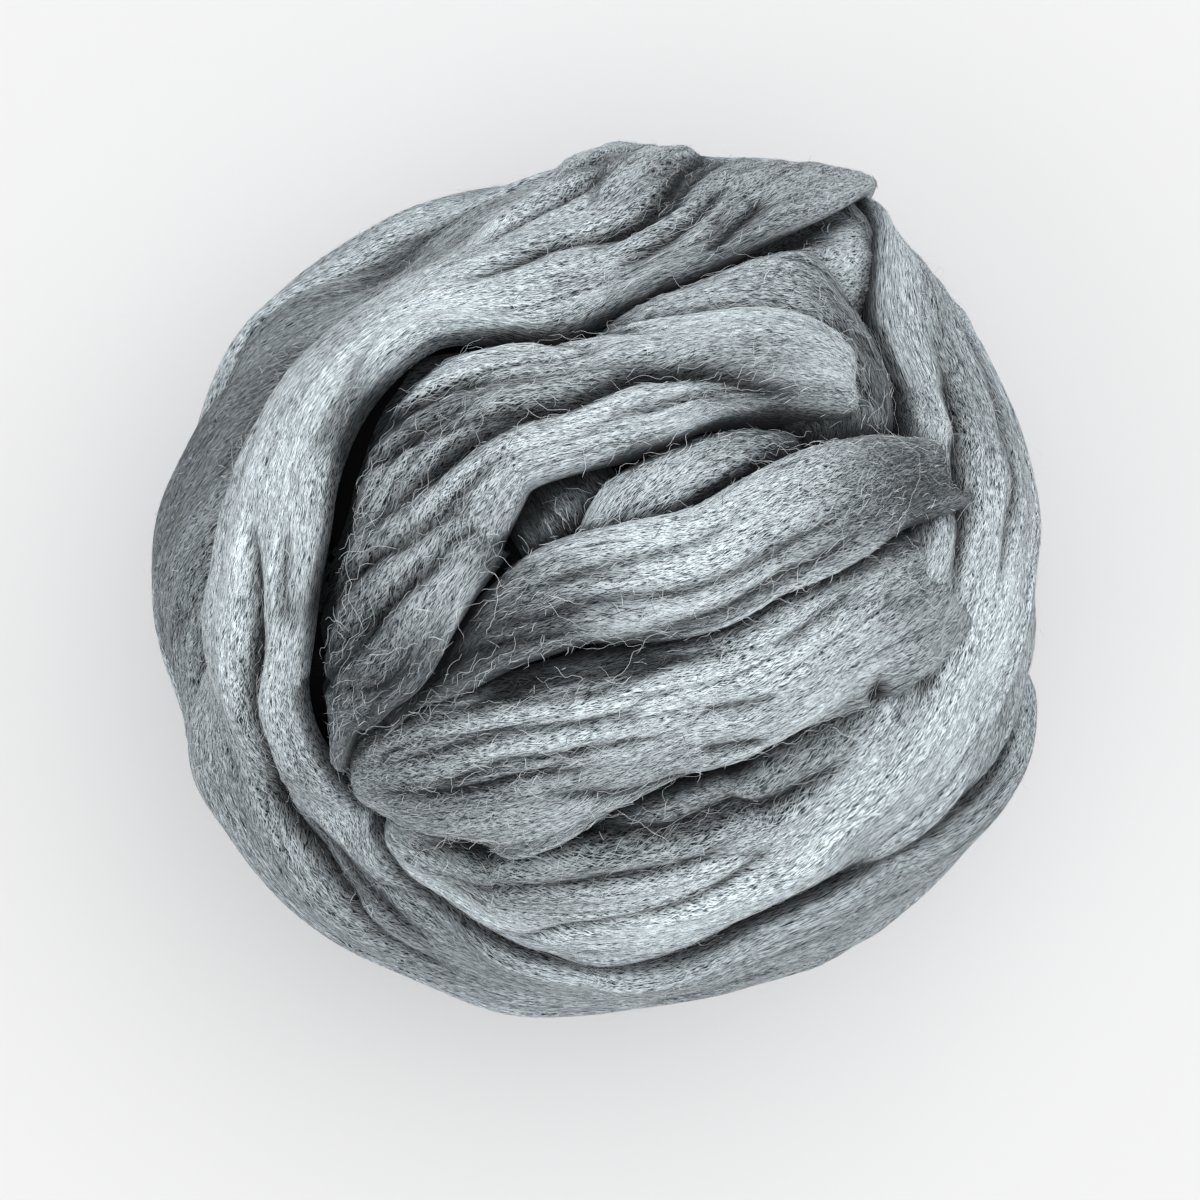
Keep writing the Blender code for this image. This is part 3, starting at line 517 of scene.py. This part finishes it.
def strand_grid(turn, along=1.4, across=0.42):
    """The turn's surface as a grid: rounded top, edges that roll in under it."""
    length = turn["length"]
    rows = max(8, int(length / along))
    s = np.linspace(0, length, rows)
    at = lambda key: np.interp(s, turn["at"], turn[key])
    mid = unit(np.stack([np.interp(s, turn["at"], turn["mid"][:, k]) for k in range(3)], -1))
    side = np.stack([np.interp(s, turn["at"], turn["side"][:, k]) for k in range(3)], -1)
    side = unit(side - (side * mid).sum(1)[:, None] * mid)
    half, thick = at("half"), at("thick")
    # angles round the section, spaced evenly along its outline
    th = np.linspace(-math.radians(132), math.radians(132), 400)
    outline = section(th)
    w, t = turn["width"] / 2, turn["thick"].mean()
    run = np.r_[0, np.cumsum(np.hypot(np.diff(outline[0] * w), np.diff(outline[1] * t)))]
    cols = max(12, int(run[-1] / across))
    th = np.interp(np.linspace(0, run[-1], cols), run, th)
    v, h = section(th)
    S, V = np.meshgrid(s, v, indexing="ij")
    Hh = np.broadcast_to(h, V.shape)
    base = bed_level(turn, S, V)
    U = np.broadcast_to(np.interp(np.linspace(0, run[-1], cols), run, run) - run[-1] / 2, V.shape)
    detail = relief(turn, S, V, U) * np.clip(0.3 + Hh / 0.35, 0, 1) * np.clip(thick / 8, 0, 1)[:, None]
    rise = base + thick[:, None] * Hh + detail
    angle = V * half[:, None]
    n = mid[:, None] * np.cos(angle)[..., None] + side[:, None] * np.sin(angle)[..., None]
    return n, rise, S, V, U


def section(th):
    """Across and height of a strand's outline by angle, widest at OVERHANG."""
    over = np.abs(th) > math.pi / 2
    v = np.sign(th) * np.abs(np.sin(np.clip(th, -math.pi / 2, math.pi / 2))) ** (2 / FULLNESS)
    h = OVERHANG + (1 - OVERHANG) * np.cos(np.clip(th, -math.pi / 2, math.pi / 2))
    past = np.clip(np.abs(th) - math.pi / 2, 0, None)
    v = np.where(over, np.sign(th) * (1 - 0.30 * (1 - np.cos(past))), v)
    h = np.where(over, OVERHANG - 0.55 * np.sin(past), h)
    return v, h


def bed_level(turn, s, v):
    k = np.clip(s / turn["length"] * (len(turn["at"]) - 1), 0, len(turn["at"]) - 1.001)
    ki = k.astype(int)
    kf = k - ki
    place = (np.clip(v, -1.3, 1.3) + 1.3) / 2.6 * (len(ACROSS) - 1)
    i = np.clip(place.astype(int), 0, len(ACROSS) - 2)
    f = place - i
    b = turn["base"]
    return ((b[ki, i] * (1 - f) + b[ki, i + 1] * f) * (1 - kf)
            + (b[ki + 1, i] * (1 - f) + b[ki + 1, i + 1] * f) * kf)


def place(n, rise):
    """Directions and rises to metres in the shared frame, pressed flat where it rests."""
    p = n * (core_radius(n) + rise)[..., None]
    p[..., 0] -= SHIFT[0]
    p[..., 1] -= SHIFT[1]
    z = p[..., 2] + CENTRE_HEIGHT
    soft = 1.5
    z = np.where(z > 2 * soft, z, np.where(z < -2 * soft, 0, (z + 2 * soft) ** 2 / (8 * soft)))
    p[..., 2] = z
    return p / 1000


def new_mesh(name, points, faces, uv=None):
    mesh = bpy.data.meshes.new(name)
    mesh.from_pydata(points, [], faces)
    if uv is not None:
        layer = mesh.uv_layers.new(name="UVMap")
        layer.data.foreach_set("uv", uv[np.asarray(faces).ravel()].astype(np.float32).ravel())
    mesh.shade_smooth()
    mesh.validate()
    obj = bpy.data.objects.new(name, mesh)
    bpy.context.scene.collection.objects.link(obj)
    return obj


field, laid = wind()
SHIFT = body_shift(field)
VISIBLE_DEPTH = 7.0
envelope = smooth_cells(field, 7.0)


def lowest(cells, reach):
    """Smallest value among the cells round each one."""
    faces = cells.reshape(6, FIELD_CELLS, FIELD_CELLS)
    for axis in (1, 2):
        spread = [np.roll(faces, q, axis) for q in range(-reach, reach + 1)]
        faces = np.minimum.reduce(spread)
    return faces.reshape(-1)


valley = lowest(field, 4)

strands = []
all_points, all_faces, all_tone, offset = [], [], [], 0
scale = 1.0
for order, turn in enumerate(laid):
    coarser = 1.45 * scale if turn["closed"] else scale
    n, rise, S, V, U = strand_grid(turn, 1.5 * coarser, 0.45 * coarser)
    rows, cols = rise.shape
    rise = rise.copy().reshape(-1)
    flat = n.reshape(-1, 3)
    open_ = rise > valley[field_cell(flat)] - VISIBLE_DEPTH - 3
    for later in laid[order + 1:]:
        at = np.flatnonzero(open_)
        if len(at) and later["press"]:
            rise[at] -= pressed(later, flat[at])
    rise = rise.reshape(rows, cols)
    points = place(n, rise).reshape(-1, 3)
    i, j = np.meshgrid(np.arange(rows - 1), np.arange(cols - 1), indexing="ij")
    i2 = i + 1
    quads = np.stack([i * cols + j, i * cols + j + 1, i2 * cols + j + 1, i2 * cols + j], -1).reshape(-1, 4)
    shown = (rise > valley[field_cell(n)] - VISIBLE_DEPTH).reshape(-1)
    keep = shown[quads].any(1)
    quads = quads[keep]
    if not len(quads):
        continue
    used = np.unique(quads)
    index = np.zeros(rows * cols, int)
    index[used] = np.arange(len(used))
    uv = np.stack([S.reshape(-1), U.reshape(-1)], -1)[used] / 1000
    faces = index[quads]
    obj = new_mesh("strand_" + turn["name"], points[used], faces, uv)
    # painted shade: the colour is darkened where the strand lies below the smoothed outer wool, and at its edges where
    # they dip, as shade falls there
    hollow = envelope[field_cell(n)] - rise
    rim = np.clip((np.abs(V) - 0.65) / 0.35, 0, 1)
    tone = tone_of(turn, S, V, U) - 0.42 * np.clip(hollow - 0.5, 0, 6) - 0.4 * rim * rim * np.clip(hollow, 0, 1)
    tone = tone.reshape(-1)[used]
    shade = np.clip(0.5 * np.exp(np.where(tone < 0, 1.25, 0.55) * tone), 0.015, 1)
    layer = obj.data.color_attributes.new("shade", "FLOAT_COLOR", "POINT")
    layer.data.foreach_set("color", np.stack([shade, shade, shade, np.ones_like(shade)], -1).astype(np.float32).ravel())
    all_tone.append(tone)
    strands.append((obj, turn))
    all_points.append(points[used])
    all_faces.append(faces + offset)
    offset += len(used)
print("strand faces", sum(len(f) for f in all_faces) * 2)

# ---- painted shade: a near-black wool skin deep between the turns, standing for the shade there ---
g = np.linspace(-1, 1, 37)
a, b = np.meshgrid(np.tan(g * math.pi / 4), np.tan(g * math.pi / 4), indexing="ij")
one = np.ones_like(a)
core_n, core_f = [], []
for q, f in enumerate([(one, a, b), (-one, a, b), (a, one, b), (a, -one, b), (a, b, one), (a, b, -one)]):
    m = unit(np.stack(f, -1)).reshape(-1, 3)
    core_n.append(m)
    i, j = np.meshgrid(np.arange(36), np.arange(36), indexing="ij")
    c = q * 37 * 37
    quad = np.stack([i * 37 + j, i * 37 + j + 1, (i + 1) * 37 + j + 1, (i + 1) * 37 + j], -1).reshape(-1, 4) + c
    core_f.append(quad)
core_n = np.concatenate(core_n)
core_f = np.concatenate(core_f)
lump = np.sin(core_n @ np.array([9.0, 4.0, 2.0])) + np.sin(core_n @ np.array([-3.0, 8.0, 5.0]))
deep = np.clip(smooth_cells(valley, 2.5)[field_cell(core_n)] - 6.0, 2, None)
shade_core = new_mesh("inner_wool", place(core_n, deep + 0.5 * lump).reshape(-1, 3), core_f, core_n[:, :2] * 0.06)


# ---- materials -------------------------------------------------------------------------
def shader_of(name, base, rough=0.9, sheen=0.05):
    mat = bpy.data.materials.new(name)
    mat.use_nodes = True
    bsdf = mat.node_tree.nodes["Principled BSDF"]
    bsdf.inputs["Base Color"].default_value = (*base, 1)
    bsdf.inputs["Roughness"].default_value = rough
    bsdf.inputs["Specular IOR Level"].default_value = 0.12
    bsdf.inputs["Sheen Weight"].default_value = sheen
    bsdf.inputs["Sheen Roughness"].default_value = 0.5
    bsdf.inputs["Sheen Tint"].default_value = (0.85, 0.93, 1.0, 1)
    return mat, mat.node_tree.nodes, mat.node_tree.links, bsdf


def wool_material(name, dark, mid, light):
    """Combed wool: streaks along the strand, crimped, in three tones, with fine relief."""
    mat, nodes, links, bsdf = shader_of(name, mid)
    uv = nodes.new("ShaderNodeUVMap")
    uv.uv_map = "UVMap"

    def noise(scale, along, detail, warp=None, lean=0.0):
        mapping = nodes.new("ShaderNodeMapping")
        mapping.vector_type = "TEXTURE"
        mapping.inputs["Rotation"].default_value = (0, 0, lean)
        mapping.inputs["Scale"].default_value = (along, 1, 1)
        links.new(warp or uv.outputs["UV"], mapping.inputs["Vector"])
        tex = nodes.new("ShaderNodeTexNoise")
        tex.inputs["Scale"].default_value = scale
        tex.inputs["Detail"].default_value = detail
        tex.inputs["Roughness"].default_value = 0.6
        links.new(mapping.outputs["Vector"], tex.inputs["Vector"])
        return tex.outputs["Fac"]

    # crimp: the streaks waver sideways
    bend = nodes.new("ShaderNodeTexNoise")
    bend.inputs["Scale"].default_value = 420
    bend.inputs["Detail"].default_value = 1.5
    links.new(uv.outputs["UV"], bend.inputs["Vector"])
    off = nodes.new("ShaderNodeVectorMath")
    off.operation = "MULTIPLY_ADD"
    off.inputs[1].default_value = (0, 0.00045, 0)
    off.inputs[2].default_value = (0, 0, 0)
    links.new(bend.outputs["Color"], off.inputs[0])
    add = nodes.new("ShaderNodeVectorMath")
    links.new(uv.outputs["UV"], add.inputs[0])
    links.new(off.outputs["Vector"], add.inputs[1])
    warped = add.outputs["Vector"]

    leaning = [noise(8600, 15, 1.0, warped, 0.14), noise(7200, 13, 1.0, warped, -0.17)]
    over = nodes.new("ShaderNodeMath"); over.operation = "MAXIMUM"
    links.new(leaning[0], over.inputs[0])
    links.new(leaning[1], over.inputs[1])
    fine = over.outputs[0]
    coarse = noise(2000, 22, 2.0, warped)
    patch = noise(60, 2.5, 3.0)
    mix = nodes.new("ShaderNodeMath"); mix.operation = "MULTIPLY_ADD"
    links.new(coarse, mix.inputs[0]); mix.inputs[1].default_value = 0.24
    part = nodes.new("ShaderNodeMath"); part.operation = "MULTIPLY"
    links.new(fine, part.inputs[0]); part.inputs[1].default_value = 1.0
    links.new(part.outputs[0], mix.inputs[2])
    tone = nodes.new("ShaderNodeMath"); tone.operation = "MULTIPLY_ADD"
    links.new(patch, tone.inputs[0]); tone.inputs[1].default_value = 0.14
    links.new(mix.outputs[0], tone.inputs[2])
    ramp = nodes.new("ShaderNodeValToRGB")
    ramp.color_ramp.elements[0].position = 0.655
    # painted shade: the darkest of the three tones, near black, stands for the shade in the gaps between fibres
    ramp.color_ramp.elements[0].color = (*dark, 1)
    ramp.color_ramp.elements[1].position = 0.83
    ramp.color_ramp.elements[1].color = (*light, 1)
    middle = ramp.color_ramp.elements.new(0.735)
    middle.color = (*mid, 1)
    links.new(tone.outputs[0], ramp.inputs["Fac"])
    # the 'shade' attribute carries the strand's tone and its painted shade, and scales the colour
    shade = nodes.new("ShaderNodeAttribute")
    shade.attribute_name = "shade"
    scale = nodes.new("ShaderNodeVectorMath")
    scale.operation = "MULTIPLY"
    double = nodes.new("ShaderNodeVectorMath")
    double.operation = "MULTIPLY"
    double.inputs[1].default_value = (2, 2, 2)
    links.new(shade.outputs["Color"], double.inputs[0])
    links.new(ramp.outputs["Color"], scale.inputs[0])
    links.new(double.outputs["Vector"], scale.inputs[1])
    links.new(scale.outputs["Vector"], bsdf.inputs["Base Color"])
    bump = nodes.new("ShaderNodeBump")
    bump.inputs["Strength"].default_value = 0.5
    bump.inputs["Distance"].default_value = 0.00025
    links.new(coarse, bump.inputs["Height"])
    links.new(bump.outputs["Normal"], bsdf.inputs["Normal"])
    return mat


wool = wool_material("combed_wool", (0.018, 0.022, 0.025), (0.375, 0.428, 0.456), (0.70, 0.775, 0.815))
# painted shade: near-black colours for the skin between the turns
shade_core_wool = wool_material("inner_wool", (0.006, 0.008, 0.010), (0.02, 0.024, 0.028), (0.05, 0.058, 0.065))
for obj, turn in strands:
    obj.data.materials.append(wool)
    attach(obj, "root")
    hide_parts("wound_ball")
shade_core.data.materials.append(shade_core_wool)
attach(shade_core, "root")
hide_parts("wound_ball")


# ---- loose fibres over the strands ---------------------------------------------------
CENTRE = np.array([-SHIFT[0], -SHIFT[1], CENTRE_HEIGHT]) / 1000
skin_points = np.concatenate(all_points)
skin_faces = np.concatenate(all_faces)
skin = BVHTree.FromPolygons(skin_points.tolist(), skin_faces.tolist())
face_run = unit(skin_points[skin_faces[:, 3]] + skin_points[skin_faces[:, 2]]
                - skin_points[skin_faces[:, 0]] - skin_points[skin_faces[:, 1]])


def cast(n):
    """Distance of the outermost wool from the ball's middle along each direction, and the face hit."""
    flat = n.reshape(-1, 3)
    start = CENTRE + flat * 0.12
    r = np.full(len(flat), np.nan)
    face = np.full(len(flat), -1)
    ray = skin.ray_cast
    for i, (o, d) in enumerate(zip(start.tolist(), (-flat).tolist())):
        hit = ray(o, d, 0.12)
        if hit[2] is not None:
            r[i] = 0.12 - hit[3]
            face[i] = hit[2]
    return r.reshape(n.shape[:-1]), face.reshape(n.shape[:-1])


def sphere_points(rng, count):
    z = rng.uniform(-0.93, 1, count)
    a = rng.uniform(0, 2 * math.pi, count)
    h = np.sqrt(1 - z * z)
    return np.stack([h * np.cos(a), h * np.sin(a), z], -1)


def fibre_paths(rng, count, steps, length, spread_deg, wave_mm, wander_mm, slope):
    """Fibres that follow the strand under them, each wavering, laid on the wool's surface."""
    n0 = sphere_points(rng, count)
    r0, face = cast(n0)
    ok = face >= 0
    n0, r0, face = n0[ok], r0[ok], face[ok]
    run = face_run[face]
    run = unit(run - (run * n0).sum(1)[:, None] * n0)
    turn_by = np.radians(rng.normal(0, spread_deg, len(n0)))
    sidewise = np.cross(n0, run)
    run, sidewise = (run * np.cos(turn_by)[:, None] + sidewise * np.sin(turn_by)[:, None],
                     sidewise * np.cos(turn_by)[:, None] - run * np.sin(turn_by)[:, None])
    size = length * np.exp(rng.normal(0, 0.35, len(n0)))
    x = (np.linspace(-0.5, 0.5, steps)[None] * size[:, None])
    lam = rng.uniform(0.36, 0.85, (len(n0), 1)) * length * (2.6 if steps < 8 else 1)
    y = wave_mm * rng.uniform(0.4, 1.4, (len(n0), 1)) * np.sin(2 * math.pi * x / lam + rng.uniform(0, 6.3, (len(n0), 1)))
    y = y + wander_mm * np.cumsum(rng.normal(0, 1, x.shape), 1) * 0.4
    bow = rng.normal(0, 0.012, (len(n0), 1))
    y = y + bow * x * x
    n = unit(n0[:, None] + (x[..., None] * run[:, None] + y[..., None] * sidewise[:, None]) / (r0 * 1000)[:, None, None])
    r, hit = cast(n)
    r = np.where(np.isnan(r), r0[:, None], r) * 1000
    step = size / (steps - 1) * slope
    mid = steps // 2
    for j in range(mid + 1, steps):
        r[:, j] = np.maximum(r[:, j], r[:, j - 1] - step)
    for j in range(mid - 1, -1, -1):
        r[:, j] = np.maximum(r[:, j], r[:, j + 1] - step)
    for j in range(1, steps):
        r[:, j] = np.minimum(r[:, j], r[:, j - 1] + 2 * step)
    return n, r, face


def ribbons(n, r, width):
    """Flat slivers along the paths, thin at both ends."""
    p = CENTRE + n * (r / 1000)[..., None]
    t = unit(np.gradient(p, axis=1))
    side = unit(np.cross(n, t))
    steps = p.shape[1]
    taper = np.clip(np.minimum(np.arange(steps), np.arange(steps)[::-1]) / 1.0, 0.25, 1)
    w = (width[:, None] * taper[None] / 2000)[..., None]
    points = np.stack([p - side * w, p + side * w], 2).reshape(-1, 3)
    points[:, 2] = np.maximum(points[:, 2], 0.0002)
    k = np.arange(len(p))[:, None] * steps * 2 + np.arange(steps - 1)[None] * 2
    faces = np.stack([k, k + 1, k + 3, k + 2], -1).reshape(-1, 4)
    return points, faces


SHADES = {  # wool tones, dark to pale
    "deep": (0.04, 0.047, 0.052),
    "dark": (0.13, 0.148, 0.16),
    "mid": (0.34, 0.38, 0.402),
    "pale": (0.54, 0.59, 0.615),
    "bright": (0.68, 0.73, 0.76),
}
rng = np.random.default_rng(41)
STEPS = 5
# Kinds of fibre: how many, how long, how far they lean from the strand's run, how they waver.
Kind = namedtuple("Kind", "name count length_mm spread_deg wave_mm wander_mm lighter")
KINDS = [Kind(*row) for row in (
    ("laid", 40000, 2.6, 13, 0.08, 0.03, 0.0),
    ("crimped", 16000, 2.2, 24, 0.22, 0.02, 0.3),
    ("crossing", 5000, 2.6, 50, 0.28, 0.02, 0.55),
)]
# fibres take the tone of the strand face under them, painted shade included, so fibres in shaded folds and hollows come
# out darker
face_tone = np.concatenate(all_tone)[skin_faces[:, 0]]
paths, heights, tones, widths = [], [], [], []
for kind in KINDS:
    count = kind.count
    n, r, face = fibre_paths(rng, count, STEPS, kind.length_mm, kind.spread_deg, kind.wave_mm, kind.wander_mm, 0.35)
    climb = r.max(1) - r[:, STEPS // 2]
    n, r, face = (a[climb < 1.4] for a in (n, r, face))
    arch = np.sin(np.linspace(0, math.pi, STEPS))[None]
    r = r + rng.uniform(0.02, 0.15, (len(r), 1)) + 0.06 * arch * rng.uniform(-1, 1.8, (len(r), 1))
    paths.append(n)
    heights.append(r)
    tones.append(rng.normal(0, 0.95, len(r)) + (2.2 - 1.2 * (kind.lighter > 0)) * face_tone[face] + kind.lighter)
    widths.append(rng.uniform(0.06, 0.105, len(r)))
paths, heights, tones, widths = (np.concatenate(a) for a in (paths, heights, tones, widths))


def show_fibres(name, colour, n, r, width):
    points, faces = ribbons(n, r, width)
    obj = new_mesh(name, points, faces)
    mat, *_ = shader_of(name, colour, 0.8, 0.05)
    obj.data.materials.append(mat)
    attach(obj, "root")
    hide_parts("wound_ball")


pick = np.digitize(tones, [-1.5, -0.8, 0.05, 0.85])
for q, (name, colour) in enumerate(SHADES.items()):
    m = pick == q
    show_fibres("fibres_" + name, colour, paths[m], heights[m], widths[m])

# ---- long stray hairs, lifted off the wool and bridging its folds -----------------------
STRAY_STEPS = 13
n, r, face = fibre_paths(rng, 3000, STRAY_STEPS, 8.0, 28, 0.45, 0.42, 0.25)
wide = blur(r, 2.0, 1)
r = np.maximum(r, wide)
arch = np.sin(np.linspace(0, math.pi, STRAY_STEPS))[None]
r = r + 0.15 + arch * rng.gamma(1.6, 0.35, (len(r), 1))
keep = (r.max(1) - r.min(1) < 5) & (r.max(1) < r[:, STRAY_STEPS // 2] + 3)
show_fibres("stray_hairs", (0.62, 0.66, 0.68), n[keep], r[keep], rng.uniform(0.03, 0.06, keep.sum()))


# ---- floor, light and camera -------------------------------------------------------
floor_mesh = bpy.data.meshes.new("floor")
floor_mesh.from_pydata([(-3, -3, 0), (3, -3, 0), (3, 3, 0), (-3, 3, 0)], [], [(0, 1, 2, 3)])
floor = bpy.data.objects.new("floor", floor_mesh)
bpy.context.scene.collection.objects.link(floor)
paper = bpy.data.materials.new("floor_paper")
paper.use_nodes = True
paper.node_tree.nodes["Principled BSDF"].inputs["Base Color"].default_value = (0.635, 0.635, 0.64, 1)
paper.node_tree.nodes["Principled BSDF"].inputs["Roughness"].default_value = 0.9
paper.node_tree.nodes["Principled BSDF"].inputs["Emission Color"].default_value = (1, 1, 1, 1)
paper.node_tree.nodes["Principled BSDF"].inputs["Emission Strength"].default_value = 0.12
paper.node_tree.nodes["Principled BSDF"].inputs["Specular IOR Level"].default_value = 0.1
floor.data.materials.append(paper)

world = bpy.data.worlds.new("studio")
bpy.context.scene.world = world
world.use_nodes = True
world.node_tree.nodes["Background"].inputs["Color"].default_value = (1.0, 1.0, 1.0, 1)
world.node_tree.nodes["Background"].inputs["Strength"].default_value = WORLD


def area(name, place, aim, size, watts):
    light = bpy.data.lights.new(name, "AREA")
    light.shape = "SQUARE"
    light.size = size
    light.energy = watts
    obj = bpy.data.objects.new(name, light)
    obj.location = place
    obj.rotation_euler = (Vector(aim) - Vector(place)).to_track_quat("-Z", "Y").to_euler()
    bpy.context.scene.collection.objects.link(obj)
    return obj


area("key", (0.3, 0.3, 1.5), (0, 0, 0.07), 1.5, KEY)
area("fill", (-0.8, -0.5, 1.3), (0, 0, 0.07), 1.0, FILL)

cam = bpy.data.cameras.new("camera")
cam.sensor_width = 36
cam.lens = 115
camera = bpy.data.objects.new("camera", cam)
camera.location = (-SHIFT[0] / 1000 + 0.00034, -SHIFT[1] / 1000 - 0.00288, CENTRE_HEIGHT / 1000 + 0.65)
camera.rotation_euler = (0, 0, 0)
bpy.context.scene.collection.objects.link(camera)
bpy.context.scene.camera = camera
bpy.context.scene.view_settings.view_transform = "Standard"
